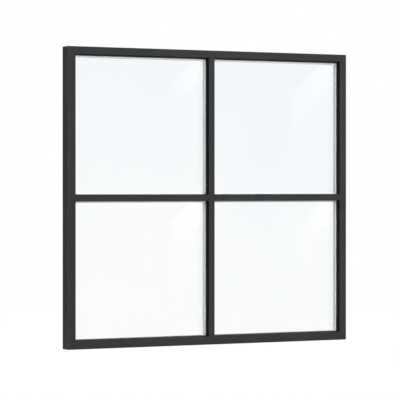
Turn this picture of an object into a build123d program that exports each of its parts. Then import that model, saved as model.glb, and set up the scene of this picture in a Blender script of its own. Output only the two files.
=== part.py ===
from build123d import *

import os

os.makedirs("parts", exist_ok=True)

# Fixed glazing panel: a mitred frame with one mullion and two transoms, holding four double-glazed units.
# Millimetres. +X runs to the right seen from outside, +Y goes into the building, +Z is up.
# The origin is the middle of the frame's underside, half way through its depth.

# Overall size
width = 1065.0
height = 1000.0
depth = 48.0

# Widths of the members seen from outside
jamb_face = 27.0
head_face = 25.0
sill_face = 28.0
mullion_face = 22.0
transom_face = 22.5

# The members behind the stop wall, which are narrower so that the glass has a rebate
frame_core = 19.0
mullion_core = 12.0
transom_core = 4.0

# Walls of the extruded members
wall = 2.0
stop_wall = 2.5
outer_radius = 2.5
inner_radius = 0.8

# How far the stop wall stands past the face of its member
jamb_stop = 3.0
head_stop = 4.0
sill_stop = 2.5
mullion_stop = 3.0
transom_stop = 0.0

# The sealed units
glass_thickness = 4.0
cavity = 16.0
spacer_height = 6.0
edge_seal = 3.0
unit_side_cover = 5.0
unit_head_cover = 3.0
unit_transom_cover = 4.0
unit_corner_radius = 1.0

# Rubber between the units and the metal
gasket_thickness = 2.0
gasket_nose = 0.5
nose_round_share = 0.9
front_gasket_cover = 7.0
rear_gasket_cover = 6.0
stem_width = 1.6
stem_length = 1.3
stem_offset = 4.0
stem_clearance = 0.1

# Glazing beads, which snap into a groove in the core of each member
rib_depth = 0.65
rib_width = 1.8
rib_clearance = 0.15
rib_offset = 1.4
bead_depth = 5.0
bead_edge = 1.5
bead_toe_share = 0.25
bead_wall = 1.2

# Blocks that carry the weight of each unit
block_height = 2.0
block_length = 80.0
block_place_share = 0.25

# Places worked out from the sizes above
unit_depth = 2 * glass_thickness + cavity
bead_front = depth - bead_depth
glass_back = bead_front - gasket_thickness
glass_front = glass_back - unit_depth
stop_back = glass_front - gasket_thickness
transom_centre = height / 2
front_y = -depth / 2
left_x = -width / 2
right_x = width / 2
groove_depth = rib_depth + rib_clearance
groove_front = bead_front + rib_offset
mitre_reach = 1.4
loop_reach = edge_seal + spacer_height + front_gasket_cover
loop_share = 2


def outline(*points):
    """A closed flat shape through the given points."""
    return make_face(Polyline(*points, close=True))


def corner_at(shape, u, v):
    """The corner of a flat shape that lies nearest to the given place."""
    return shape.vertices().sort_by_distance(Vector(u, v, 0))[0]


def bar_between(u_from, u_to, v_from, v_to):
    """A flat rectangle given by its sides."""
    centre = ((u_from + u_to) / 2, (v_from + v_to) / 2)
    return Pos(*centre) * Rectangle(abs(u_to - u_from), abs(v_to - v_from))


def gasket_groove(stop_line):
    """The slot in the back of the stop wall that holds the stem of the front gasket."""
    reach = stem_width / 2 + stem_clearance
    middle = stop_line - stem_offset
    bottom = stop_back - stem_length - stem_clearance
    return bar_between(middle - reach, middle + reach, bottom, stop_back)


def bead_groove(core):
    """The slot in the core that holds the rib of a glazing bead."""
    low = groove_front - rib_clearance
    high = groove_front + rib_width + rib_clearance
    return bar_between(core - groove_depth, core, low, high)


def frame_envelope(face, stop):
    """The filled section of a frame member, its outer side at u = 0 and its front at v = 0."""
    stop_line = face + stop
    stop_front = stop_back - stop_wall
    return outline(
        (0, 0),
        (face, 0),
        (face, stop_front),
        (stop_line, stop_front),
        (stop_line, stop_back),
        (frame_core, stop_back),
        (frame_core, depth),
        (0, depth),
    )


def frame_outline(face, stop):
    """The filled section of a frame member with its arrises rounded."""
    shape = frame_envelope(face, stop)
    shape = fillet([corner_at(shape, 0, 0), corner_at(shape, 0, depth)], outer_radius)
    return fillet(corner_at(shape, face, 0), inner_radius)


def frame_section(face, stop):
    """The hollow section of a frame member with its two chambers and its two grooves."""
    front_chamber = bar_between(wall, face - wall, wall, stop_back - stop_wall)
    rear_chamber = bar_between(wall, frame_core - wall, stop_back, depth - wall)
    section = frame_outline(face, stop) - front_chamber - rear_chamber
    return section - gasket_groove(face + stop) - bead_groove(frame_core)


def bar_envelope(face, core, stop):
    """The filled section of a mullion or transom, alike on both sides of u = 0."""
    half_face = face / 2
    stop_front = stop_back - stop_wall
    shape = bar_between(-half_face, half_face, 0, stop_back)
    shape += bar_between(-half_face - stop, half_face + stop, stop_front, stop_back)
    return shape + bar_between(-core / 2, core / 2, 0, depth)


def bar_outline(face, core, stop):
    """The filled section of a mullion or transom with its front arrises rounded."""
    shape = bar_envelope(face, core, stop)
    fronts = [corner_at(shape, side * face / 2, 0) for side in (-1, 1)]
    return fillet(fronts, inner_radius)


def bar_section(face, core, stop):
    """The hollow section of a mullion or transom; a thin core stays a plain web."""
    front_chamber = bar_between(wall - face / 2, face / 2 - wall, wall, stop_back - stop_wall)
    section = bar_outline(face, core, stop) - front_chamber
    hollow = core - 2 * wall
    if hollow > wall:
        section -= bar_between(-hollow / 2, hollow / 2, stop_back, depth - wall)
    grooves = gasket_groove(face / 2 + stop) + bead_groove(core / 2)
    return section - grooves - mirror(grooves, about=Plane.YZ)


def upright(section, x, z_from, z_to, toward_right=True):
    """Extrude a section from z_from to z_to, its u axis pointing right or left from x."""
    length = z_to - z_from
    if toward_right:
        return extrude(Plane((x, front_y, z_from), x_dir=(1, 0, 0), z_dir=(0, 0, 1)) * section, length)
    return extrude(Plane((x, front_y, z_to), x_dir=(-1, 0, 0), z_dir=(0, 0, -1)) * section, length)


def level(section, z, x_from, x_to, upward=True):
    """Extrude a section from x_from to x_to, its u axis pointing up or down from z."""
    length = x_to - x_from
    if upward:
        return extrude(Plane((x_to, front_y, z), x_dir=(0, 0, 1), z_dir=(-1, 0, 0)) * section, length)
    return extrude(Plane((x_from, front_y, z), x_dir=(0, 0, -1), z_dir=(1, 0, 0)) * section, length)


def prism(*points):
    """A block through the whole depth, over a flat outline in x and z."""
    return extrude(Plane.XZ * outline(*points), depth, both=True)


def between(start, end, share):
    """The point at a share of the way from start to end, or past it."""
    return tuple(a + (b - a) * share for a, b in zip(start, end))


def mitre_block(outer_a, outer_b, inner_a, inner_b):
    """A block that cuts a length to its mitres, which run from each outer to each inner corner."""
    start = 1 - mitre_reach
    return prism(
        between(outer_a, inner_a, start),
        between(outer_b, inner_b, start),
        between(outer_b, inner_b, mitre_reach),
        between(outer_a, inner_a, mitre_reach),
    )


def slab(x_from, x_to, z_from, z_to, v_from, v_to):
    """A block given by its sides, its depth measured from the outside face."""
    sizes = (x_to - x_from, v_to - v_from, z_to - z_from)
    centre = ((x_from + x_to) / 2, front_y + (v_from + v_to) / 2, (z_from + z_to) / 2)
    return Pos(*centre) * Box(*sizes)


def four_sides(section, x_from, x_to, z_from, z_to, spare=0.0):
    """A section along each side of a rectangle, u = 0 on the side and positive inwards."""
    ends_x = (x_from - spare, x_to + spare)
    ends_z = (z_from - spare, z_to + spare)
    return (
        level(section, z_from, *ends_x),
        upright(section, x_to, *ends_z, toward_right=False),
        level(section, z_to, *ends_x, upward=False),
        upright(section, x_from, *ends_z),
    )


def loop(section, x_from, x_to, z_from, z_to):
    """A section carried round a rectangle with mitred corners, as one closed ring."""
    spare = loop_share * loop_reach
    low_x, high_x = x_from - loop_reach, x_to + loop_reach
    low_z, high_z = z_from - loop_reach, z_to + loop_reach
    outer = ((low_x, low_z), (high_x, low_z), (high_x, high_z), (low_x, high_z))
    path = ((x_from, z_from), (x_to, z_from), (x_to, z_to), (x_from, z_to))
    inner = [between(start, end, loop_share) for start, end in zip(outer, path)]
    ring = Part()
    for side, length in enumerate(four_sides(section, x_from, x_to, z_from, z_to, spare)):
        after = (side + 1) % len(path)
        ring += length & mitre_block(outer[side], outer[after], inner[side], inner[after])
    return ring


def layer(x_from, x_to, z_from, z_to, v_from, v_to):
    """One layer of a sealed unit, its four corners taken off."""
    block = slab(x_from, x_to, z_from, z_to, v_from, v_to)
    return fillet(block.edges().filter_by(Axis.Y), unit_corner_radius)


def save(node, shape):
    """Write one piece to its own file."""
    export_step(shape, os.path.join("parts", node + ".step"))


# The frame

left_mitres = mitre_block(
    (left_x, 0),
    (left_x, height),
    (left_x + jamb_face, sill_face),
    (left_x + jamb_face, height - head_face),
)
left_jamb = upright(frame_section(jamb_face, jamb_stop), left_x, 0, height) & left_mitres
right_jamb = mirror(left_jamb, about=Plane.YZ)

# What the ends of the other members are milled to

jamb_envelope = upright(frame_envelope(jamb_face, jamb_stop), left_x, 0, height)
mitred_envelope = jamb_envelope & left_mitres
jamb_envelopes = jamb_envelope + mirror(jamb_envelope, about=Plane.YZ)
mitred_envelopes = mitred_envelope + mirror(mitred_envelope, about=Plane.YZ)
head_envelope = level(frame_envelope(head_face, head_stop), height, left_x, right_x, upward=False)
sill_envelope = level(frame_envelope(sill_face, sill_stop), 0, left_x, right_x)
mullion_envelope = upright(bar_envelope(mullion_face, mullion_core, mullion_stop), 0, 0, height)

head = level(frame_section(head_face, head_stop), height, left_x, right_x, upward=False) - mitred_envelopes
sill = level(frame_section(sill_face, sill_stop), 0, left_x, right_x) - mitred_envelopes
mullion = upright(bar_section(mullion_face, mullion_core, mullion_stop), 0, 0, height)
mullion -= head_envelope + sill_envelope
transom_bar = level(bar_section(transom_face, transom_core, transom_stop), transom_centre, left_x, right_x)
transoms = (transom_bar - jamb_envelopes - mullion_envelope).solids().sort_by(Axis.X)

save("frame_head", head)
save("frame_sill", sill)
save("frame_left_jamb", left_jamb)
save("frame_right_jamb", right_jamb)
save("mullion", mullion)
save("transom_left", transoms[0])
save("transom_right", transoms[-1])

# The four panes: the rebate's base lines and the stop lines on each side

left_base = left_x + frame_core
left_stop = left_x + jamb_face + jamb_stop
middle_base = -mullion_core / 2
middle_stop = -mullion_face / 2 - mullion_stop
sill_base = frame_core
sill_line = sill_face + sill_stop
head_base = height - frame_core
head_line = height - head_face - head_stop
transom_half_core = transom_core / 2
transom_half_stop = transom_face / 2 + transom_stop

columns = {
    "left": ((left_base, middle_base), (left_stop, middle_stop)),
    "right": ((-middle_base, -left_base), (-middle_stop, -left_stop)),
}
rows = {
    "bottom": (
        (sill_base, transom_centre - transom_half_core),
        (sill_line, transom_centre - transom_half_stop),
    ),
    "top": (
        (transom_centre + transom_half_core, head_base),
        (transom_centre + transom_half_stop, head_line),
    ),
}


def nose_section(cover, v_from, v_to):
    """The body of a gasket, its visible edge rounded."""
    radius = nose_round_share * (v_to - v_from) / 2
    body = bar_between(-cover, gasket_nose, v_from, v_to)
    return fillet([corner_at(body, gasket_nose, v) for v in (v_from, v_to)], radius)


def front_gasket(stop_x, stop_z):
    """The outside gasket: a closed body on the glass, and a stem in each stop wall's groove."""
    gasket = loop(nose_section(front_gasket_cover, stop_back, glass_front), *stop_x, *stop_z)
    near = -stem_offset - stem_width / 2
    stem = bar_between(near, near + stem_width, stop_back - stem_length, stop_back)
    for length in four_sides(stem, *stop_x, *stop_z):
        gasket += length
    return gasket


def bead_section(rise):
    """A glazing bead on its base line: a hollow wedge like a putty line, and the rib under it."""
    toe = bead_toe_share * rise
    wedge = outline(
        (0, bead_front),
        (rise, bead_front),
        (rise, bead_front + bead_edge),
        (toe, depth),
        (0, depth),
    )
    rib = bar_between(-rib_depth, 0, groove_front, groove_front + rib_width)
    return wedge - offset(wedge, -bead_wall) + rib


def add_unit(name, stop_x, base_z, stop_z, top_cover):
    """The sealed unit of one pane on its blocks; returns its outer seal and the blocks."""
    x_from = stop_x[0] - unit_side_cover
    x_to = stop_x[1] + unit_side_cover
    z_from = base_z[0] + block_height
    z_to = stop_z[1] + top_cover
    inner_front = glass_front + glass_thickness + cavity
    cavity_sides = (glass_front + glass_thickness, inner_front)
    sides = (x_from, x_to, z_from, z_to)
    save(name + "_outer_glass", layer(*sides, glass_front, cavity_sides[0]))
    save(name + "_inner_glass", layer(*sides, inner_front, glass_back))
    spacer_section = bar_between(edge_seal, edge_seal + spacer_height, *cavity_sides)
    save(name + "_spacer", loop(spacer_section, *sides))
    spacer_x = (x_from + edge_seal, x_to - edge_seal)
    spacer_z = (z_from + edge_seal, z_to - edge_seal)
    seal = layer(*sides, *cavity_sides) - slab(*spacer_x, *spacer_z, *cavity_sides)
    span = x_to - x_from
    blocks = []
    for share in (block_place_share, 1 - block_place_share):
        middle = x_from + share * span
        block_from = middle - block_length / 2
        block_x = (block_from, block_from + block_length)
        blocks.append(slab(*block_x, base_z[0], z_from, glass_front, glass_back))
    return seal, blocks


def add_gaskets(name, stop_x, stop_z):
    """The outside and inside gaskets of one pane, each one closed loop."""
    save(name + "_front_gasket", front_gasket(stop_x, stop_z))
    rear = nose_section(rear_gasket_cover, glass_back, bead_front)
    save(name + "_rear_gasket", loop(rear, *stop_x, *stop_z))


def add_beads(name, base_x, stop_x, base_z, stop_z):
    """The four mitred glazing beads of one pane."""
    lower_left = ((base_x[0], base_z[0]), (stop_x[0], stop_z[0]))
    lower_right = ((base_x[1], base_z[0]), (stop_x[1], stop_z[0]))
    upper_left = ((base_x[0], base_z[1]), (stop_x[0], stop_z[1]))
    upper_right = ((base_x[1], base_z[1]), (stop_x[1], stop_z[1]))
    sill_length = level(bead_section(stop_z[0] - base_z[0]), base_z[0], left_x, right_x)
    head_length = level(bead_section(base_z[1] - stop_z[1]), base_z[1], left_x, right_x, upward=False)
    left_length = upright(bead_section(stop_x[0] - base_x[0]), base_x[0], 0, height)
    right_length = upright(bead_section(base_x[1] - stop_x[1]), base_x[1], 0, height, toward_right=False)
    beads = {
        "sill_bead": (sill_length, lower_left, lower_right),
        "head_bead": (head_length, upper_left, upper_right),
        "left_bead": (left_length, lower_left, upper_left),
        "right_bead": (right_length, lower_right, upper_right),
    }
    for part_name, (length, start, end) in beads.items():
        save(name + "_" + part_name, length & mitre_block(start[0], end[0], start[1], end[1]))


top_covers = {"bottom": unit_transom_cover, "top": unit_head_cover}
block_solids = []
seal_solids = []
for row, (base_z, stop_z) in rows.items():
    for column, (base_x, stop_x) in columns.items():
        pane = row + "_" + column
        seal, blocks = add_unit(pane, stop_x, base_z, stop_z, top_covers[row])
        seal_solids.append(seal)
        block_solids += blocks
        add_gaskets(pane, stop_x, stop_z)
        add_beads(pane, base_x, stop_x, base_z, stop_z)

save("setting_blocks", Compound(children=block_solids))
save("edge_seals", Compound(children=seal_solids))
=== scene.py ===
import logging
import math
from dataclasses import dataclass
from enum import Enum
from typing import Callable, Iterable, Sequence, Union

import bpy
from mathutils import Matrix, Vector


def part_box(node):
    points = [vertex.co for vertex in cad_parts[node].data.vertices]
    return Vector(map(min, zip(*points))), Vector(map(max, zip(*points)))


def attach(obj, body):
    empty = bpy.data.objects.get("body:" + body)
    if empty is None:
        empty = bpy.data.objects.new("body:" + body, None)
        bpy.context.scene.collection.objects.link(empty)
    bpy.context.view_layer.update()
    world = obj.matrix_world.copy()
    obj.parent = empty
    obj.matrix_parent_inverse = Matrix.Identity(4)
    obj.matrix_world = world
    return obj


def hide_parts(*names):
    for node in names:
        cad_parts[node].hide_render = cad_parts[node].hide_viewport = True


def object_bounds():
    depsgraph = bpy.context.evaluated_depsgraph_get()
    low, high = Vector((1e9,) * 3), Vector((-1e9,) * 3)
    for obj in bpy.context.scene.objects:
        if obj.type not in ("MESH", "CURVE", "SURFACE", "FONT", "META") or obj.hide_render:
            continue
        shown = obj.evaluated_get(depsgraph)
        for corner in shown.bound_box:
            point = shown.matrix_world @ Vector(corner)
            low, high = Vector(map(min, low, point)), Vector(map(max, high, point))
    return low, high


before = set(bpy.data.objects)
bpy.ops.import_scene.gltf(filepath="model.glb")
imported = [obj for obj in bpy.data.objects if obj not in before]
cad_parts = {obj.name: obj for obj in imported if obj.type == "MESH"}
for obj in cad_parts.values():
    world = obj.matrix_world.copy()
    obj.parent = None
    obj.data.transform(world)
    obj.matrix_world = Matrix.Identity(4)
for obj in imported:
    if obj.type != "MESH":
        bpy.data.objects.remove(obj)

LOG = logging.getLogger("glazing_panel")
CAD_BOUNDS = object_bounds()
BODY = "root"
SPACER_SLOT = "spacer"
CARD_GLOW = "glow"

Colour = tuple[float, float, float]
Pair = tuple[float, float]
Object = bpy.types.Object
Material = bpy.types.Material
Node = bpy.types.Node
Socket = bpy.types.NodeSocket
Value = Union[Socket, float, Colour, Sequence[float]]
FaceTest = Callable[[bpy.types.MeshPolygon], bool]

# The Mix node's colour sockets share their names with others, so they go by their places
MIX_COLOURS = (6, 7)
MIX_RESULT = 2

WHITE: Colour = (1.0, 1.0, 1.0)
STUDIO_SHADE: Colour = (0.012, 0.012, 0.012)
SMOOTH_ANGLE = math.radians(40.0)

# A face lies across an axis when its normal has more than this share along it
SQUARE_ON = 0.9


class Run(Enum):
    """The way a length of profile runs, as the stretch of its texture along X, Y and Z."""

    LEVEL = (0.06, 1.0, 1.0)
    UPRIGHT = (1.0, 1.0, 0.06)


class NodeSheet:
    """Adds and links the nodes of one material, world or node group."""

    def __init__(self, tree: bpy.types.NodeTree) -> None:
        """Start with an empty sheet."""
        self.tree = tree
        tree.nodes.clear()

    def add(self, kind: str, **settings: object) -> Node:
        """Add a node.

        Args:
            kind: The node's type name.
            settings: Attributes of the node.

        Returns:
            The new node.
        """
        node = self.tree.nodes.new(kind)
        for name, value in settings.items():
            setattr(node, name, value)
        return node

    def feed(self, socket: Socket, value: Value) -> None:
        """Link a socket into an input, or set the input's own value.

        Args:
            socket: The input.
            value: A socket to link, or a constant.
        """
        if isinstance(value, Socket):
            self.tree.links.new(value, socket)
        else:
            socket.default_value = value

    def feed_all(self, node: Node, **values: Value) -> None:
        """Feed a node's inputs by their names, with underscores for spaces."""
        for label, value in values.items():
            self.feed(node.inputs[label.replace("_", " ")], value)

    def math(self, operation: str, first: Value, second: Value = 0.0, clamp: bool = False) -> Socket:
        """Combine two numbers.

        Args:
            operation: The Math node's operation.
            first: The first number.
            second: The second number.
            clamp: Whether the result is kept between 0 and 1.

        Returns:
            The result.
        """
        node = self.add("ShaderNodeMath", operation=operation, use_clamp=clamp)
        self.feed(node.inputs[0], first)
        self.feed(node.inputs[1], second)
        return node.outputs[0]

    def vector_math(self, operation: str, first: Value, second: Value = (0.0, 0.0, 0.0)) -> Node:
        """Combine two vectors.

        Args:
            operation: The Vector Math node's operation.
            first: The first vector.
            second: The second vector.

        Returns:
            The node, whose output depends on the operation.
        """
        node = self.add("ShaderNodeVectorMath", operation=operation)
        self.feed(node.inputs[0], first)
        self.feed(node.inputs[1], second)
        return node

    def split(self, vector: Value) -> tuple[Socket, Socket, Socket]:
        """Split a vector.

        Args:
            vector: The vector.

        Returns:
            Its three parts.
        """
        node = self.add("ShaderNodeSeparateXYZ")
        self.feed(node.inputs[0], vector)
        return node.outputs[0], node.outputs[1], node.outputs[2]

    def noise(self, vector: Value, scale: Value, detail: float = 2.0) -> Socket:
        """Add a cloud of noise.

        Args:
            vector: The place that it is read at.
            scale: Features per metre.
            detail: Octaves.

        Returns:
            A number about 0.5.
        """
        node = self.add("ShaderNodeTexNoise", noise_dimensions="3D")
        self.feed_all(node, Vector=vector, Scale=scale, Detail=detail)
        return node.outputs[0]

    def ramp(self, value: Value, low: Value, high: Value, first: Value = 0.0, last: Value = 1.0) -> Socket:
        """Map a range onto another with soft ends.

        Args:
            value: The number to map.
            low: Where the ramp starts.
            high: Where it ends.
            first: The result at its start.
            last: The result at its end.

        Returns:
            The mapped number.
        """
        node = self.add("ShaderNodeMapRange", interpolation_type="SMOOTHSTEP")
        for socket, number in zip(node.inputs, (value, low, high, first, last)):
            self.feed(socket, number)
        return node.outputs[0]

    def blend(self, share: Value, first: Value, second: Value) -> Socket:
        """Mix two colours.

        Args:
            share: How much of the second colour shows.
            first: The colour at 0.
            second: The colour at 1.

        Returns:
            The mixed colour.
        """
        node = self.add("ShaderNodeMix", data_type="RGBA")
        self.feed(node.inputs[0], share)
        for place, colour in zip(MIX_COLOURS, (first, second)):
            opaque = colour if isinstance(colour, Socket) else (*colour, 1.0)
            self.feed(node.inputs[place], opaque)
        return node.outputs[MIX_RESULT]

    def mix_shaders(self, share: Value, first: Socket, second: Socket) -> Socket:
        """Mix two shaders.

        Args:
            share: How much of the second shader shows.
            first: The shader at 0.
            second: The shader at 1.

        Returns:
            The mixed shader.
        """
        node = self.add("ShaderNodeMixShader")
        for socket, value in zip(node.inputs, (share, first, second)):
            self.feed(socket, value)
        return node.outputs[0]

    def put_out(self, kind: str, shader: Socket) -> None:
        """Let a shader be what the World or the Material shows."""
        self.feed(self.add(f"ShaderNodeOutput{kind}").inputs["Surface"], shader)

    def place(self) -> Socket:
        """The place on the piece, in metres in the panel's own frame."""
        return self.add("ShaderNodeTexCoord").outputs["Object"]

    def bump(self, height: Value, strength: float, depth: float, under: Union[Socket, None] = None) -> Socket:
        """Turn a height into a normal.

        Args:
            height: The height, from 0 to 1.
            strength: The share of the height that shows.
            depth: The depth of a height of 1, in metres.
            under: A bent normal that this height comes on top of.

        Returns:
            The bent normal.
        """
        node = self.add("ShaderNodeBump")
        self.feed_all(node, Height=height, Strength=strength, Distance=depth)
        if under is not None:
            self.feed(node.inputs["Normal"], under)
        return node.outputs[0]

    def eye_rays(self, path: Node) -> Socket:
        """Mask the rays of what the eye sees, straight on, in gloss or through glass."""
        straight = self.math("MAXIMUM", path.outputs["Is Camera Ray"], path.outputs["Is Glossy Ray"])
        return self.math("MAXIMUM", straight, path.outputs["Is Transmission Ray"])


class SharedGroup:
    """A shader node group that several finishes use, built once."""

    name = ""
    inputs: tuple[tuple[str, str, Value], ...] = ()
    outputs: tuple[tuple[str, str], ...] = ()

    def fill(self, sheet: NodeSheet, given: Node, result: Node) -> None:
        """Wire the group's inside, from the node that holds its inputs to the one that takes its outputs."""
        raise NotImplementedError

    def tree(self) -> bpy.types.NodeTree:
        """Make the group's node tree at its first use.

        Returns:
            The group's node tree.
        """
        found = bpy.data.node_groups.get(self.name)
        if found:
            return found
        tree = bpy.data.node_groups.new(self.name, "ShaderNodeTree")
        for label, kind, value in self.inputs:
            socket = tree.interface.new_socket(name=label, in_out="INPUT", socket_type=kind)
            if kind != "NodeSocketVector":
                socket.default_value = value
        for label, kind in self.outputs:
            tree.interface.new_socket(name=label, in_out="OUTPUT", socket_type=kind)
        sheet = NodeSheet(tree)
        self.fill(sheet, sheet.add("NodeGroupInput"), sheet.add("NodeGroupOutput"))
        return tree

    def use(self, sheet: NodeSheet, **values: Value) -> Node:
        """Place the group in a finish.

        Args:
            sheet: The finish's sheet.
            values: The group's inputs, with underscores for spaces.

        Returns:
            The group's node.
        """
        node = sheet.add("ShaderNodeGroup", node_tree=self.tree())
        sheet.feed_all(node, **values)
        return node


class CoatTexture(SharedGroup):
    """The fine grain, the soft waviness and the clouds of a coat or a moulded skin."""

    name = "coat_texture"
    inputs = (
        ("Position", "NodeSocketVector", 0.0),
        ("Grain Scale", "NodeSocketFloat", 2400.0),
        ("Peel Scale", "NodeSocketFloat", 420.0),
        ("Cloud Scale", "NodeSocketFloat", 7.0),
    )
    outputs = (("Height", "NodeSocketFloat"), ("Fleck", "NodeSocketFloat"), ("Cloud", "NodeSocketFloat"))
    grain_share = 0.4
    grain_octaves = 3.0
    peel_octaves = 1.0
    cloud_octaves = 4.0
    fleck_band: Pair = (0.35, 0.65)
    cloud_band: Pair = (0.3, 0.7)

    def fill(self, sheet: NodeSheet, given: Node, result: Node) -> None:
        """Wire grain and peel into a height, and the flecks and clouds of the shade beside it.

        Args:
            sheet: The group's sheet.
            given: The node that holds the group's inputs.
            result: The node that takes its outputs.
        """
        position = given.outputs["Position"]
        grain = sheet.noise(position, given.outputs["Grain Scale"], self.grain_octaves)
        peel = sheet.noise(position, given.outputs["Peel Scale"], self.peel_octaves)
        fine = sheet.math("MULTIPLY", grain, self.grain_share)
        coarse = sheet.math("MULTIPLY", peel, 1.0 - self.grain_share)
        sheet.feed(result.inputs["Height"], sheet.math("ADD", fine, coarse))
        sheet.feed(result.inputs["Fleck"], sheet.ramp(grain, *self.fleck_band))
        cloud = sheet.noise(position, given.outputs["Cloud Scale"], self.cloud_octaves)
        sheet.feed(result.inputs["Cloud"], sheet.ramp(cloud, *self.cloud_band))


@dataclass(frozen=True)
class Grain:
    """How fine a finish's grain, peel and clouds are, in features per metre."""

    grain: float = 2400.0
    peel: float = 420.0
    cloud: float = 7.0

    def use(self, sheet: NodeSheet, position: Socket) -> Node:
        """Place the coat texture in a finish."""
        scales = {"Grain_Scale": self.grain, "Peel_Scale": self.peel, "Cloud_Scale": self.cloud}
        return CoatTexture().use(sheet, Position=position, **scales)


class JointLine(SharedGroup):
    """A hairline where two members meet, along a flat joint that both run up to."""

    name = "joint_line"
    inputs = (
        ("Position", "NodeSocketVector", 0.0),
        ("Point X", "NodeSocketFloat", 0.0),
        ("Point Z", "NodeSocketFloat", 0.0),
        ("Across X", "NodeSocketFloat", 0.0),
        ("Across Z", "NodeSocketFloat", 1.0),
        ("Width", "NodeSocketFloat", 0.0003),
    )
    outputs = (("Mask", "NodeSocketFloat"),)

    def fill(self, sheet: NodeSheet, given: Node, result: Node) -> None:
        """Measure the distance from the joint's plane, with X folded about the panel's middle.

        Args:
            sheet: The group's sheet.
            given: The node that holds the group's inputs.
            result: The node that takes its outputs.
        """
        x, _, z = sheet.split(given.outputs["Position"])
        from_x = sheet.math("SUBTRACT", sheet.math("ABSOLUTE", x), given.outputs["Point X"])
        from_z = sheet.math("SUBTRACT", z, given.outputs["Point Z"])
        along_x = sheet.math("MULTIPLY", from_x, given.outputs["Across X"])
        along_z = sheet.math("MULTIPLY", from_z, given.outputs["Across Z"])
        distance = sheet.math("ABSOLUTE", sheet.math("ADD", along_x, along_z))
        half = sheet.math("MULTIPLY", given.outputs["Width"], 0.5)
        sheet.feed(result.inputs["Mask"], sheet.ramp(distance, 0.0, half, 1.0, 0.0))


class SettledDust(SharedGroup):
    """The thin dust that settles on what faces up."""

    name = "settled_dust"
    inputs = (
        ("Position", "NodeSocketVector", 0.0),
        ("Amount", "NodeSocketFloat", 0.2),
        ("Scale", "NodeSocketFloat", 60.0),
    )
    outputs = (("Mask", "NodeSocketFloat"),)
    facing_band: Pair = (0.5, 1.0)
    patch_octaves = 5.0
    patch_band: Pair = (0.25, 0.8)

    def fill(self, sheet: NodeSheet, given: Node, result: Node) -> None:
        """Let the dust lie by how far the surface faces up, broken up by noise.

        Args:
            sheet: The group's sheet.
            given: The node that holds the group's inputs.
            result: The node that takes its outputs.
        """
        _, _, up = sheet.split(sheet.add("ShaderNodeNewGeometry").outputs["Normal"])
        patches = sheet.noise(given.outputs["Position"], given.outputs["Scale"], self.patch_octaves)
        level = sheet.ramp(up, *self.facing_band)
        lying = sheet.math("MULTIPLY", level, sheet.ramp(patches, *self.patch_band))
        sheet.feed(result.inputs["Mask"], sheet.math("MULTIPLY", lying, given.outputs["Amount"], clamp=True))


class DieLines(SharedGroup):
    """The faint lines that an extrusion die leaves along a profile."""

    name = "die_lines"
    inputs = (
        ("Position", "NodeSocketVector", 0.0),
        ("Stretch", "NodeSocketVector", 0.0),
        ("Scale", "NodeSocketFloat", 900.0),
    )
    outputs = (("Height", "NodeSocketFloat"),)

    def fill(self, sheet: NodeSheet, given: Node, result: Node) -> None:
        """Read noise that is stretched along the profile."""
        stretched = sheet.vector_math("MULTIPLY", given.outputs["Position"], given.outputs["Stretch"])
        sheet.feed(result.inputs["Height"], sheet.noise(stretched.outputs[0], given.outputs["Scale"]))


def blank_material(name: str) -> tuple[Material, NodeSheet]:
    """Make a material with an empty sheet.

    Args:
        name: The material's name.

    Returns:
        The material and its sheet.
    """
    material = bpy.data.materials.new(name)
    material.use_nodes = True
    return material, NodeSheet(material.node_tree)


def new_material(name: str) -> tuple[Material, NodeSheet, Node]:
    """Make a material with a Principled shader.

    Args:
        name: The material's name.

    Returns:
        The material, its sheet and its shader node.
    """
    material, sheet = blank_material(name)
    shader = sheet.add("ShaderNodeBsdfPrincipled")
    sheet.put_out("Material", shader.outputs[0])
    return material, sheet, shader


@dataclass(frozen=True)
class Joint:
    """A flat joint between two members, with X folded about the panel's middle."""

    point: Pair
    across: Pair


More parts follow.
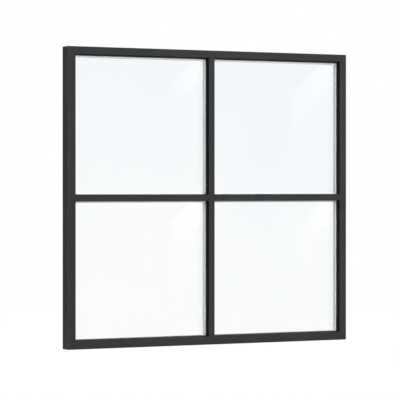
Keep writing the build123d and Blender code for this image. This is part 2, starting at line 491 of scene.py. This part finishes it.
@dataclass(frozen=True)
class PowderCoat:
    """Matt charcoal powder coating on an aluminium profile."""

    name: str
    run: Run
    joints: tuple[Joint, ...] = ()
    texture: Grain = Grain()
    colour: Colour = (0.0062, 0.0060, 0.0059)
    fleck_colour: Colour = (0.0088, 0.0086, 0.0085)
    dust_colour: Colour = (0.16, 0.155, 0.145)
    joint_colour: Colour = (0.006, 0.006, 0.006)
    fleck_share: float = 0.7
    roughness: float = 0.56
    cloud_roughness: float = 0.08
    dust_roughness: float = 0.6
    shine: float = 0.42
    line_share: float = 0.15
    line_scale: float = 700.0
    relief: float = 0.35
    peel_depth: float = 0.00006
    joint_relief: float = 0.6
    joint_depth: float = 0.00015
    joint_width: float = 0.0003
    dust: float = 0.03
    dust_scale: float = 90.0

    def build(self) -> Material:
        """Make the finish.

        Returns:
            The finished material.
        """
        material, sheet, shader = new_material(self.name)
        position = sheet.place()
        coat = self.texture.use(sheet, position)
        dust = SettledDust().use(sheet, Position=position, Amount=self.dust, Scale=self.dust_scale)
        lines = DieLines().use(sheet, Position=position, Stretch=self.run.value, Scale=self.line_scale)
        flecked = sheet.math("MULTIPLY", coat.outputs["Fleck"], self.fleck_share)
        clouded = sheet.math("MULTIPLY", coat.outputs["Cloud"], 1.0 - self.fleck_share)
        colour = sheet.blend(sheet.math("ADD", flecked, clouded), self.colour, self.fleck_colour)
        colour = sheet.blend(dust.outputs["Mask"], colour, self.dust_colour)
        lined = sheet.math("MULTIPLY", lines.outputs["Height"], self.line_share)
        normal = sheet.bump(sheet.math("ADD", coat.outputs["Height"], lined), self.relief, self.peel_depth)
        hairline = self.joint_mask(sheet, position)
        if hairline is not None:
            colour = sheet.blend(hairline, colour, self.joint_colour)
            groove = sheet.math("SUBTRACT", 1.0, hairline)
            normal = sheet.bump(groove, self.joint_relief, self.joint_depth, normal)
        rough = sheet.math("MULTIPLY", coat.outputs["Cloud"], self.cloud_roughness)
        rough = sheet.math("ADD", rough, self.roughness)
        dusty = sheet.math("MULTIPLY", dust.outputs["Mask"], self.dust_roughness)
        rough = sheet.math("ADD", rough, dusty, clamp=True)
        sheet.feed_all(shader, Base_Color=colour, Roughness=rough, Normal=normal)
        sheet.feed_all(shader, Specular_IOR_Level=self.shine)
        return material

    def joint_mask(self, sheet: NodeSheet, position: Socket) -> Union[Socket, None]:
        """Add up the hairlines of the joints.

        Args:
            sheet: The material's sheet.
            position: The place on the piece.

        Returns:
            Their mask, or None where the member has no joint.
        """
        mask = None
        for joint in self.joints:
            line = JointLine().use(
                sheet,
                Position=position,
                Point_X=joint.point[0],
                Point_Z=joint.point[1],
                Across_X=joint.across[0],
                Across_Z=joint.across[1],
                Width=self.joint_width,
            ).outputs["Mask"]
            mask = line if mask is None else sheet.math("MAXIMUM", mask, line)
        return mask


@dataclass(frozen=True)
class FloatGlass:
    """Clear float glass, faintly green and blue, with the slight unevenness of its surface."""

    name: str = "clear_float_glass"
    tint: Colour = (0.987, 0.991, 0.992)
    deep_tint: Colour = (0.983, 0.989, 0.990)
    lamp_light: Colour = (0.95, 0.96, 0.96)
    refraction: float = 1.5
    texture: Grain = Grain(60.0, 9.0, 11.0)
    relief: float = 0.05
    roll_depth: float = 0.000002

    def build(self) -> Material:
        """Make the finish.

        Returns:
            The finished material.
        """
        material, sheet, shader = new_material(self.name)
        position = sheet.place()
        coat = self.texture.use(sheet, position)
        colour = sheet.blend(coat.outputs["Cloud"], self.tint, self.deep_tint)
        normal = sheet.bump(coat.outputs["Height"], self.relief, self.roll_depth)
        sheet.feed_all(shader, Base_Color=colour, Normal=normal, IOR=self.refraction)
        sheet.feed_all(shader, Roughness=0.0, Metallic=0.0, Transmission_Weight=1.0)
        self.let_lamps_through(sheet, shader)
        return material

    def let_lamps_through(self, sheet: NodeSheet, shader: Node) -> None:
        """Let the light of lamps pass, so that what lies behind the glass is lit through it.

        Args:
            sheet: The material's sheet.
            shader: The glass shader.
        """
        clear = sheet.add("ShaderNodeBsdfTransparent")
        clear.inputs["Color"].default_value = (*self.lamp_light, 1.0)
        shadow_ray = sheet.add("ShaderNodeLightPath").outputs["Is Shadow Ray"]
        mixed = sheet.mix_shaders(shadow_ray, shader.outputs[0], clear.outputs[0])
        output = next(node for node in sheet.tree.nodes if node.type == "OUTPUT_MATERIAL")
        sheet.feed(output.inputs["Surface"], mixed)


@dataclass(frozen=True)
class Rubber:
    """Black rubber, paler where it is worn, from a gasket to a squeezed sealant."""

    name: str
    colour: Colour = (0.012, 0.012, 0.012)
    worn_colour: Colour = (0.022, 0.022, 0.021)
    dust_colour: Colour = (0.12, 0.118, 0.11)
    roughness: float = 0.62
    fleck_roughness: float = 0.1
    shine: float = 0.15
    texture: Grain = Grain(3200.0, 700.0, 14.0)
    relief: float = 0.3
    grain_depth: float = 0.00004
    dust: float = 0.12
    dust_scale: float = 120.0

    def build(self) -> Material:
        """Make the finish.

        Returns:
            The finished material.
        """
        material, sheet, shader = new_material(self.name)
        position = sheet.place()
        coat = self.texture.use(sheet, position)
        dust = SettledDust().use(sheet, Position=position, Amount=self.dust, Scale=self.dust_scale)
        colour = sheet.blend(coat.outputs["Cloud"], self.colour, self.worn_colour)
        colour = sheet.blend(dust.outputs["Mask"], colour, self.dust_colour)
        flecked = sheet.math("MULTIPLY", coat.outputs["Fleck"], self.fleck_roughness)
        rough = sheet.math("ADD", flecked, self.roughness)
        normal = sheet.bump(coat.outputs["Height"], self.relief, self.grain_depth)
        sheet.feed_all(shader, Base_Color=colour, Roughness=rough, Normal=normal)
        sheet.feed_all(shader, Specular_IOR_Level=self.shine)
        return material


@dataclass(frozen=True)
class WarmEdgeBar:
    """The light grey spacer bar, with its rows of small slots that let the drying beads breathe."""

    name: str = "light_grey_spacer_bar"
    colour: Colour = (0.74, 0.76, 0.77)
    shade_colour: Colour = (0.71, 0.73, 0.74)
    # Painted light: a lighter colour on the faces against the glass, standing in for the light they catch
    painted_light_colour: Colour = (0.93, 0.94, 0.95)
    slot_colour: Colour = (0.10, 0.10, 0.10)
    roughness: float = 0.42
    fleck_roughness: float = 0.08
    texture: Grain = Grain(1800.0, 500.0, 20.0)
    grain_share: float = 0.1
    relief: float = 0.5
    slot_depth: float = 0.0003
    slot_pitch: float = 0.0045
    slot_length: float = 0.0020
    slot_width: float = 0.0006
    slot_core: float = 0.8
    row_offset: float = 0.0032
    middle_y: float = 0.0
    painted_light_facing: Pair = (0.5, 0.9)
    upright_facing: Pair = (0.6, 0.8)
    inward_facing: Pair = (0.3, 0.5)

    def build(self) -> Material:
        """Make the finish.

        Returns:
            The finished material.
        """
        material, sheet, shader = new_material(self.name)
        position = sheet.place()
        coat = self.texture.use(sheet, position)
        colour = sheet.blend(coat.outputs["Cloud"], self.colour, self.shade_colour)
        slots = self.slot_mask(sheet, position)
        colour = sheet.blend(slots, colour, self.slot_colour)
        # Painted light: the faces against the glass are painted lighter, as painted light on them
        colour = sheet.blend(self.painted_light_mask(sheet), colour, self.painted_light_colour)
        grained = sheet.math("MULTIPLY", coat.outputs["Height"], self.grain_share)
        normal = sheet.bump(sheet.math("SUBTRACT", grained, slots), self.relief, self.slot_depth)
        flecked = sheet.math("MULTIPLY", coat.outputs["Fleck"], self.fleck_roughness)
        rough = sheet.math("ADD", flecked, self.roughness)
        sheet.feed_all(shader, Base_Color=colour, Roughness=rough, Normal=normal)
        return material

    def painted_light_mask(self, sheet: NodeSheet) -> Socket:
        """Mask where the bar faces a pane of glass, which is painted lighter there as painted light on these
        faces.
        """
        _, normal_y, _ = sheet.split(sheet.add("ShaderNodeNewGeometry").outputs["Normal"])
        return sheet.ramp(sheet.math("ABSOLUTE", normal_y), *self.painted_light_facing)

    def slot_mask(self, sheet: NodeSheet, position: Socket) -> Socket:
        """Draw two rows of slots along each bar, on the face that looks into the unit.

        Args:
            sheet: The material's sheet.
            position: The place on the piece.

        Returns:
            The mask of the slots.
        """
        x, y, z = sheet.split(position)
        normal_x, normal_y, _ = sheet.split(sheet.add("ShaderNodeNewGeometry").outputs["Normal"])
        upright = sheet.ramp(sheet.math("ABSOLUTE", normal_x), *self.upright_facing)
        facing = sheet.ramp(sheet.math("ABSOLUTE", normal_y), *self.inward_facing, 1.0, 0.0)
        rising = sheet.math("MULTIPLY", z, upright)
        along = sheet.math("ADD", rising, sheet.math("MULTIPLY", x, sheet.math("SUBTRACT", 1.0, upright)))
        step = sheet.math("FRACT", sheet.math("DIVIDE", along, self.slot_pitch))
        steps_off = sheet.math("ABSOLUTE", sheet.math("SUBTRACT", step, 0.5))
        from_middle = sheet.math("MULTIPLY", steps_off, self.slot_pitch)
        lengthwise = self.within(sheet, from_middle, self.slot_length)
        from_axis = sheet.math("ABSOLUTE", sheet.math("SUBTRACT", y, self.middle_y))
        from_row = sheet.math("ABSOLUTE", sheet.math("SUBTRACT", from_axis, self.row_offset))
        across = self.within(sheet, from_row, self.slot_width)
        return sheet.math("MULTIPLY", sheet.math("MULTIPLY", lengthwise, across), facing)

    def within(self, sheet: NodeSheet, distance: Socket, size: float) -> Socket:
        """Mask what lies within half a slot's size of its middle line, with a soft edge."""
        return sheet.ramp(distance, size / 2 * self.slot_core, size / 2, 1.0, 0.0)


@dataclass(frozen=True)
class MouldedPlastic:
    """Plain moulded plastic of the setting blocks."""

    name: str = "moulded_setting_block"
    colour: Colour = (0.03, 0.03, 0.031)
    pale_colour: Colour = (0.04, 0.04, 0.04)
    roughness: float = 0.5
    texture: Grain = Grain(1500.0, 300.0)
    relief: float = 0.3
    grain_depth: float = 0.0001

    def build(self) -> Material:
        """Make the finish.

        Returns:
            The finished material.
        """
        material, sheet, shader = new_material(self.name)
        coat = self.texture.use(sheet, sheet.place())
        colour = sheet.blend(coat.outputs["Cloud"], self.colour, self.pale_colour)
        normal = sheet.bump(coat.outputs["Height"], self.relief, self.grain_depth)
        sheet.feed_all(shader, Base_Color=colour, Roughness=self.roughness, Normal=normal)
        return material


class Workbench:
    """Modelling steps that the sub-assemblies share, done with edit-mode operators."""

    @staticmethod
    def clear() -> None:
        """Leave edit mode and deselect everything."""
        if bpy.context.mode != "OBJECT":
            bpy.ops.object.mode_set(mode="OBJECT")
        bpy.ops.object.select_all(action="DESELECT")

    @staticmethod
    def pick_faces(piece: Object, wanted: FaceTest) -> None:
        """Select faces by a test, and stay in edit mode.

        Args:
            piece: The piece that is being edited.
            wanted: Says whether a face is selected.
        """
        bpy.ops.mesh.select_mode(type="FACE")
        bpy.ops.mesh.select_all(action="DESELECT")
        bpy.ops.object.mode_set(mode="OBJECT")
        for face in piece.data.polygons:
            face.select = wanted(face)
        bpy.ops.object.mode_set(mode="EDIT")

    @staticmethod
    def ring(name: str, low: Vector, high: Vector, thickness: float) -> Object:
        """Model a closed rectangular ring, facing outside, and stay in edit mode.

        Args:
            name: The piece's name.
            low: The lowest corner of the ring's outside.
            high: The highest corner of the ring's outside.
            thickness: How far the ring reaches inwards.

        Returns:
            The ring's object, still in edit mode.
        """
        Workbench.clear()
        middle = (low + high) / 2
        bpy.ops.mesh.primitive_plane_add(size=1.0, location=middle, rotation=(math.pi / 2, 0.0, 0.0))
        piece = bpy.context.object
        piece.name = name
        piece.data.name = name
        piece.scale = (high.x - low.x, high.z - low.z, 1.0)
        bpy.ops.object.transform_apply(location=True, rotation=True, scale=True)
        bpy.ops.object.mode_set(mode="EDIT")
        bpy.ops.mesh.select_all(action="SELECT")
        bpy.ops.transform.translate(value=(0.0, low.y - middle.y, 0.0))
        bpy.ops.mesh.inset(thickness=thickness)
        bpy.ops.mesh.delete(type="FACE")
        bpy.ops.mesh.select_all(action="SELECT")
        bpy.ops.mesh.extrude_region_move(TRANSFORM_OT_translate={"value": (0.0, high.y - low.y, 0.0)})
        bpy.ops.mesh.select_all(action="SELECT")
        bpy.ops.mesh.normals_make_consistent(inside=False)
        return piece

    @staticmethod
    def finish(piece: Object, material: Material, slot: str) -> None:
        """Close the modelling of a piece, dress it and fix it to the panel.

        Args:
            piece: The piece, in edit mode.
            material: Its finish.
            slot: The record's slot that the finish stands for; not used.
        """
        bpy.ops.object.mode_set(mode="OBJECT")
        bpy.ops.object.shade_smooth_by_angle(angle=SMOOTH_ANGLE)
        piece.data.materials.clear()
        piece.data.materials.append(material)
        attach(piece, BODY)
        LOG.info("%s: %d faces", piece.name, len(piece.data.polygons))


@dataclass
class SealedUnit:
    """One double-glazed unit: its two panes and the spacer bar between them."""

    pane: str
    glass: Material
    bar: Material
    bond_thickness: float = 0.00005
    shoulder: float = 0.0009
    shoulder_steps: int = 3
    channel_margin: float = 0.0022
    channel_depth: float = 0.0005

    def build(self) -> None:
        """Dress the panes and model what lies between them."""
        dress(self.glass, f"{self.pane}_outer_glass", f"{self.pane}_inner_glass")
        self.build_bar()

    def build_bar(self) -> None:
        """Model the spacer bar, with rounded shoulders and a shallow channel for its slots."""
        low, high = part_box(f"{self.pane}_spacer")
        inset = Vector((0.0, self.bond_thickness, 0.0))
        height = ring_reach(f"{self.pane}_spacer")
        piece = Workbench.ring(f"{self.pane}_spacer_bar", low + inset, high - inset, height)
        Workbench.pick_faces(piece, self.inward_test(low, high))
        bpy.ops.mesh.inset(thickness=self.channel_margin, depth=-self.channel_depth, use_outset=False)
        Workbench.pick_faces(piece, self.faces_pane)
        bpy.ops.mesh.region_to_loop()
        bpy.ops.mesh.bevel(offset=self.shoulder, segments=self.shoulder_steps, affect="EDGES")
        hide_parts(f"{self.pane}_spacer")
        Workbench.finish(piece, self.bar, SPACER_SLOT)

    @staticmethod
    def faces_pane(face: bpy.types.MeshPolygon) -> bool:
        """Whether a face of the bar lies against a pane of glass."""
        return abs(face.normal.y) > SQUARE_ON

    @staticmethod
    def inward_test(low: Vector, high: Vector) -> FaceTest:
        """Make the test for the four faces that look into the unit.

        Args:
            low: The spacer's lowest corner.
            high: Its highest corner.

        Returns:
            The test.
        """
        middle = (low + high) / 2

        def inward(face: bpy.types.MeshPolygon) -> bool:
            """Whether a face of the plain ring looks towards its middle."""
            return face.normal.dot(middle - face.center) > 0.0 and not SealedUnit.faces_pane(face)

        return inward


def ring_reach(node: str) -> float:
    """Read how far a rectangular ring of the panel reaches in from its outer edge.

    Args:
        node: The ring's node.

    Returns:
        Its reach, in metres.
    """
    low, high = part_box(node)
    middle = (low.x + high.x) / 2
    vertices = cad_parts[node].data.vertices
    return max(vertex.co.x for vertex in vertices if vertex.co.x < middle) - low.x


def dress(material: Material, *nodes: str) -> None:
    """Give CAD nodes their finish.

    Args:
        material: The finish, which takes every material slot.
        nodes: The names of the nodes.
    """
    for node in nodes:
        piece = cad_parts[node]
        if not piece.material_slots:
            piece.data.materials.append(material)
        for slot in piece.material_slots:
            slot.material = material
        LOG.info("%s: %s", node, material.name)


@dataclass
class OuterFrame:
    """The four mitred members and the bars between them."""

    jamb_face: float = 0.027
    head_face: float = 0.025
    sill_face: float = 0.028
    bar_face: float = 0.022

    def mitres(self) -> tuple[Joint, Joint]:
        """Work out the mitres of the corners.

        Returns:
            The joints at the lower and the upper corners.
        """
        low, high = CAD_BOUNDS
        joints = []
        for end_z, rise in ((low[2], self.sill_face), (high[2], -self.head_face)):
            length = math.hypot(self.jamb_face, rise)
            joints.append(Joint((high[0], end_z), (rise / length, self.jamb_face / length)))
        return tuple(joints)

    def butts(self) -> tuple[Joint, Joint]:
        """Work out where the mullion ends.

        Returns:
            The joints at its lower and its upper end.
        """
        low, high = CAD_BOUNDS
        lower, upper = low[2] + self.sill_face, high[2] - self.head_face
        return Joint((0.0, lower), (0.0, 1.0)), Joint((0.0, upper), (0.0, 1.0))

    def ends(self) -> tuple[Joint, Joint]:
        """The joints at the two ends of each transom."""
        _, high = CAD_BOUNDS
        return Joint((self.bar_face / 2, 0.0), (1.0, 0.0)), Joint((high[0] - self.jamb_face, 0.0), (1.0, 0.0))

    def build(self) -> None:
        """Dress every member, its texture running along it."""
        level = PowderCoat("charcoal_coat_level", Run.LEVEL, self.mitres()).build()
        upright = PowderCoat("charcoal_coat_upright", Run.UPRIGHT, self.mitres()).build()
        mullion = PowderCoat("charcoal_coat_mullion", Run.UPRIGHT, self.butts()).build()
        transom = PowderCoat("charcoal_coat_transom", Run.LEVEL, self.ends()).build()
        dress(level, "frame_head", "frame_sill")
        dress(upright, "frame_left_jamb", "frame_right_jamb")
        dress(mullion, "mullion")
        dress(transom, "transom_left", "transom_right")


@dataclass
class Glazing:
    """What fills the four openings: sealed units, gaskets, glazing beads and setting blocks."""

    panes: tuple[str, ...] = ("top_left", "top_right", "bottom_left", "bottom_right")

    def build(self) -> None:
        """Dress the glazing and model the inside of the units."""
        low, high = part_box(f"{self.panes[0]}_spacer")
        glass = FloatGlass().build()
        bar = WarmEdgeBar(middle_y=(low.y + high.y) / 2).build()
        sealant = Rubber("black_edge_sealant", roughness=0.5, dust=0.0).build()
        gasket = Rubber("black_gasket_rubber").build()
        level_bead = PowderCoat("charcoal_bead_level", Run.LEVEL).build()
        upright_bead = PowderCoat("charcoal_bead_upright", Run.UPRIGHT).build()
        for pane in self.panes:
            SealedUnit(pane, glass, bar).build()
            dress(gasket, f"{pane}_front_gasket", f"{pane}_rear_gasket")
            dress(level_bead, f"{pane}_head_bead", f"{pane}_sill_bead")
            dress(upright_bead, f"{pane}_left_bead", f"{pane}_right_bead")
        dress(MouldedPlastic().build(), "setting_blocks")
        dress(sealant, "edge_seals")


@dataclass
class PhotoCamera:
    """The photograph's viewpoint, found from the lines of the frame."""

    place: tuple[float, float, float] = (-3.3983, -6.5438, 0.5374)
    turn: float = 0.4750
    dip: float = 0.0062
    lens: float = 194.61
    sensor: float = 36.0
    sight_end: float = 200.0

    def build(self) -> Object:
        """Set up the camera.

        Returns:
            The camera.
        """
        data = bpy.data.cameras.new("photo_camera")
        data.sensor_width = self.sensor
        data.lens = self.lens
        data.clip_end = self.sight_end
        camera = bpy.data.objects.new("photo_camera", data)
        camera.location = self.place
        camera.rotation_euler = (math.pi / 2 - self.dip, 0.0, -self.turn)
        bpy.context.scene.collection.objects.link(camera)
        bpy.context.scene.camera = camera
        return camera


@dataclass(frozen=True)
class Lamp:
    """A soft rectangular lamp that looks at the panel."""

    name: str
    place: tuple[float, float, float]
    width: float
    height: float
    power: float

    def build(self, target: Vector) -> None:
        """Hang the lamp.

        Args:
            target: The place that it looks at.
        """
        data = bpy.data.lights.new(self.name, "AREA")
        data.shape = "RECTANGLE"
        data.size = self.width
        data.size_y = self.height
        data.energy = self.power
        lamp = bpy.data.objects.new(self.name, data)
        lamp.location = self.place
        lamp.rotation_euler = (target - Vector(self.place)).to_track_quat("-Z", "Y").to_euler()
        lamp.visible_camera = False
        bpy.context.scene.collection.objects.link(lamp)


@dataclass(frozen=True)
class Streak:
    """The slanted bright streak that each pane mirrors, measured from its top right sight corner."""

    pane: str
    margin: float = 0.008
    top_width: float = 0.055
    side_drop: float = 0.062
    reach: float = 0.128
    left_top: float = 0.078
    left_bottom: float = 0.162
    distance: float = 0.45
    veil_drop: float = 0.17
    glow: tuple[float, ...] = (0.7, 1.0, 0.75, 0.22, 0.35)
    veil_glow: tuple[float, ...] = (0.16, 0.16, 0.03, 0.03)

    def outlines(self) -> tuple[list[Vector], ...]:
        """Lay out the streak on the outer pane, and the faint veil that hangs below it.

        Returns:
            The corners of the streak, and those of the veil.
        """
        _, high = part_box(f"{self.pane}_front_gasket")
        glass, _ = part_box(f"{self.pane}_outer_glass")
        cover = ring_reach(f"{self.pane}_front_gasket")
        right = high.x - cover - self.margin
        top = high.z - cover - self.margin
        left = right - self.reach
        streak = (
            (right - self.top_width, top),
            (right, top),
            (right, top - self.side_drop),
            (left, top - self.left_bottom),
            (left, top - self.left_top),
        )
        veil = (
            (left, top - self.left_bottom),
            (right, top - self.side_drop),
            (right, top - self.left_bottom - self.veil_drop),
            (left, top - self.left_bottom - self.veil_drop),
        )
        return tuple([Vector((x, glass.y, z)) for x, z in flat] for flat in (streak, veil))

    def build(self, eye: Vector, material: Material) -> None:
        """Hang the streak's card and the veil's.

        Args:
            eye: The place of the camera.
            material: The cards' white, which only reflections see.
        """
        names = (f"{self.pane}_card", f"{self.pane}_veil")
        for name, outline, glows in zip(names, self.outlines(), (self.glow, self.veil_glow)):
            card = self.hang(name, [self.mirrored(corner, eye) for corner in outline], glows)
            card.data.materials.append(material)

    def mirrored(self, corner: Vector, eye: Vector) -> Vector:
        """Place a card's corner where the eye meets its mirror image on the pane.

        Args:
            corner: The place of the image on the outer pane.
            eye: The place of the camera.

        Returns:
            The place of the card's corner.
        """
        sight = corner - eye
        image = corner + sight * (self.distance / sight.y)
        return Vector((image.x, 2 * corner.y - image.y, image.z))

    @staticmethod
    def hang(name: str, points: Sequence[Vector], glows: Sequence[float]) -> Object:
        """Hang a card that only mirrored rays meet.

        Args:
            name: The card's name.
            points: Its corners.
            glows: The brightness at each corner.

        Returns:
            The card.
        """
        Workbench.clear()
        bpy.ops.mesh.primitive_circle_add(vertices=len(points), radius=1.0, fill_type="NGON")
        card = bpy.context.object
        card.name = name
        for vertex, point in zip(card.data.vertices, points):
            vertex.co = point
        glow = card.data.attributes.new(CARD_GLOW, "FLOAT", "POINT")
        for item, value in zip(glow.data, glows):
            item.value = value
        for ray in ("visible_camera", "visible_diffuse", "visible_transmission", "visible_shadow"):
            setattr(card, ray, False)
        return card


@dataclass(frozen=True)
class Surroundings:
    """What lies round the panel: white to the eye, a shaded studio in mirrors, and a plain light."""

    ambient: Colour = WHITE
    sky_tint: Colour = (0.48, 0.68, 0.84)
    high_tint: Colour = (0.86, 0.87, 0.88)
    slant: float = 0.33
    cloud_scale: float = 22.0
    cloud_octaves: float = 1.0
    cloud_height: float = 0.11
    sky_start: float = 0.078
    sky_reach: float = 0.15
    high_band: Pair = (0.08, 0.2)
    left_band: Pair = (0.0, 0.12)
    behind_band: Pair = (0.2, 0.5)
    behind_height: Pair = (0.35, 0.6)

    def build(self) -> None:
        """Set up the world."""
        world = bpy.data.worlds.new("studio")
        bpy.context.scene.world = world
        world.use_nodes = True
        sheet = NodeSheet(world.node_tree)
        path = sheet.add("ShaderNodeLightPath")
        mirrored = sheet.math("GREATER_THAN", path.outputs["Glossy Depth"], 0.5)
        seen = sheet.blend(mirrored, WHITE, self.mirrored_studio(sheet))
        back = sheet.add("ShaderNodeBackground")
        sheet.feed(back.inputs["Color"], sheet.blend(sheet.eye_rays(path), self.ambient, seen))
        sheet.put_out("World", back.outputs[0])

    def mirrored_studio(self, sheet: NodeSheet) -> Socket:
        """Colour what mirrored rays find: sky over white, grey high up, shade at the left and behind.

        Args:
            sheet: The world's sheet.

        Returns:
            The colour.
        """
        direction = sheet.add("ShaderNodeTexCoord").outputs["Generated"]
        x, y, z = sheet.split(direction)
        cloud = sheet.math("SUBTRACT", sheet.noise(direction, self.cloud_scale, self.cloud_octaves), 0.5)
        slanting = sheet.math("ADD", z, sheet.math("MULTIPLY", x, self.slant))
        ragged = sheet.math("ADD", slanting, sheet.math("MULTIPLY", cloud, self.cloud_height))
        above = sheet.math("SUBTRACT", ragged, self.sky_start)
        rising = sheet.math("DIVIDE", above, self.sky_reach, clamp=True)
        sky = sheet.blend(rising, WHITE, self.sky_tint)
        sky = sheet.blend(sheet.ramp(z, *self.high_band), sky, self.high_tint)
        to_left = sheet.ramp(x, *self.left_band, 1.0, 0.0)
        low_down = sheet.ramp(z, *self.behind_height, 1.0, 0.0)
        behind = sheet.math("MULTIPLY", sheet.ramp(y, *self.behind_band), low_down)
        return sheet.blend(sheet.math("MAXIMUM", to_left, behind), sky, STUDIO_SHADE)


@dataclass(frozen=True)
class PaleFloor:
    """The round white floor, which fades out at its rim and keeps a faint shadow."""

    radius: float = 2.6
    sides: int = 96
    fade_start: float = 0.45
    fade_end: float = 0.98
    shadow: float = 0.04
    mirrored_shadow: float = 0.01
    pale: Colour = (0.99, 0.99, 0.99)
    behind_band: Pair = (-0.1, 0.1)
    across_sight: Pair = (0.916, 0.402)
    beside_band: Pair = (-0.65, -0.5)

    def build(self, level: float) -> None:
        """Lay the floor.

        Args:
            level: The height that the panel stands on.
        """
        Workbench.clear()
        bpy.ops.mesh.primitive_circle_add(
            vertices=self.sides, radius=self.radius, fill_type="NGON", location=(0.0, 0.0, level)
        )
        floor = bpy.context.object
        floor.name = "studio_floor"
        floor.data.materials.append(self.finish())

    def finish(self) -> Material:
        """Make the floor glow for the eye, with a little lit white, and lie plain white for the rest.

        Returns:
            The floor's material.
        """
        material, sheet = blank_material("pale_floor")
        path = sheet.add("ShaderNodeLightPath")
        straight = path.outputs["Is Camera Ray"]
        mirrored = sheet.math("GREATER_THAN", path.outputs["Glossy Depth"], 0.5)
        shaded = sheet.math("MULTIPLY", mirrored, self.shade_mask(sheet))
        lit = sheet.add("ShaderNodeBsdfDiffuse")
        lit.inputs["Color"].default_value = (*WHITE, 1.0)
        glow = sheet.add("ShaderNodeEmission")
        pale = sheet.blend(straight, self.pale, WHITE)
        sheet.feed(glow.inputs["Color"], sheet.blend(shaded, pale, STUDIO_SHADE))
        lit_share = sheet.ramp(straight, 0.0, 1.0, self.mirrored_shadow, self.shadow)
        seen = sheet.mix_shaders(lit_share, glow.outputs[0], lit.outputs[0])
        by_ray = sheet.mix_shaders(sheet.eye_rays(path), lit.outputs[0], seen)
        distance = sheet.vector_math("LENGTH", sheet.place()).outputs["Value"]
        rim = (self.radius * self.fade_start, self.radius * self.fade_end)
        clear = sheet.add("ShaderNodeBsdfTransparent")
        inside = sheet.ramp(distance, *rim, 1.0, 0.0)
        sheet.put_out("Material", sheet.mix_shaders(inside, clear.outputs[0], by_ray))
        return material

    def shade_mask(self, sheet: NodeSheet) -> Socket:
        """Where reflections find the floor in shade: behind the panel, and left of what its panes mirror.

        Args:
            sheet: The floor's sheet.

        Returns:
            The mask of the shade.
        """
        x, y, _ = sheet.split(sheet.place())
        across_x, across_y = self.across_sight
        across = sheet.math("ADD", sheet.math("MULTIPLY", x, across_x), sheet.math("MULTIPLY", y, across_y))
        beside = sheet.ramp(across, *self.beside_band, 1.0, 0.0)
        return sheet.math("MAXIMUM", sheet.ramp(y, *self.behind_band), beside)


@dataclass
class Studio:
    """The lamps, the surroundings, the floor and the cards that the panes mirror."""

    card_white: Colour = (1.85, 1.45, 1.2)
    lamps: tuple[Lamp, ...] = (
        Lamp("key_softbox", (5.2, -9.0, 3.6), 3.4, 3.4, 200.0),
        Lamp("front_softbox", (0.5, -9.5, 6.0), 2.5, 2.5, 260.0),
        Lamp("fill_softbox", (-5.0, -5.0, 1.8), 2.5, 2.5, 10.0),
        Lamp("left_strip", (-5.5, 0.12, 0.5), 0.25, 0.9, 270.0),
        Lamp("rear_softbox", (2.6, 5.2, 8.0), 3.0, 3.0, 120.0),
    )
    streaks: tuple[Streak, ...] = (
        Streak("top_left"),
        Streak(
            "top_right",
            top_width=0.062,
            side_drop=0.066,
            reach=0.172,
            left_top=0.105,
            left_bottom=0.212,
            veil_glow=(0.27, 0.27, 0.09, 0.09),
        ),
        Streak("bottom_left", left_top=0.062, left_bottom=0.15),
        Streak(
            "bottom_right",
            top_width=0.062,
            side_drop=0.066,
            reach=0.16,
            left_top=0.105,
            left_bottom=0.165,
            glow=(0.6, 0.9, 0.6, 0.12, 0.25),
        ),
    )

    def build(self, camera: Object) -> None:
        """Set up everything round the panel.

        Args:
            camera: The camera that the cards are placed for.
        """
        bpy.context.scene.view_settings.view_transform = "Standard"
        low, high = (Vector(corner) for corner in CAD_BOUNDS)
        for lamp in self.lamps:
            lamp.build((low + high) / 2)
        Surroundings().build()
        PaleFloor().build(low.z)
        white_card = self.card_finish()
        for streak in self.streaks:
            streak.build(camera.location, white_card)

    def card_finish(self) -> Material:
        """Make the cards lie white over what is behind them, as brightly as each corner says.

        Returns:
            The cards' material.
        """
        material, sheet = blank_material("white_card")
        share = sheet.add("ShaderNodeAttribute", attribute_name=CARD_GLOW).outputs["Fac"]
        glow = sheet.add("ShaderNodeEmission")
        glow.inputs["Color"].default_value = (*self.card_white, 1.0)
        sheet.feed(glow.inputs["Strength"], share)
        over = sheet.add("ShaderNodeAddShader")
        sheet.feed(over.inputs[0], glow.outputs[0])
        sheet.feed(over.inputs[1], sheet.add("ShaderNodeBsdfTransparent").outputs[0])
        sheet.put_out("Material", over.outputs[0])
        return material


def main() -> None:
    """Dress the panel, model the inside of its units and set up the studio."""
    logging.basicConfig(level=logging.INFO, format="%(name)s: %(message)s")
    OuterFrame().build()
    Glazing().build()
    camera = PhotoCamera().build()
    Studio().build(camera)


if __name__ == "__main__":
    main()
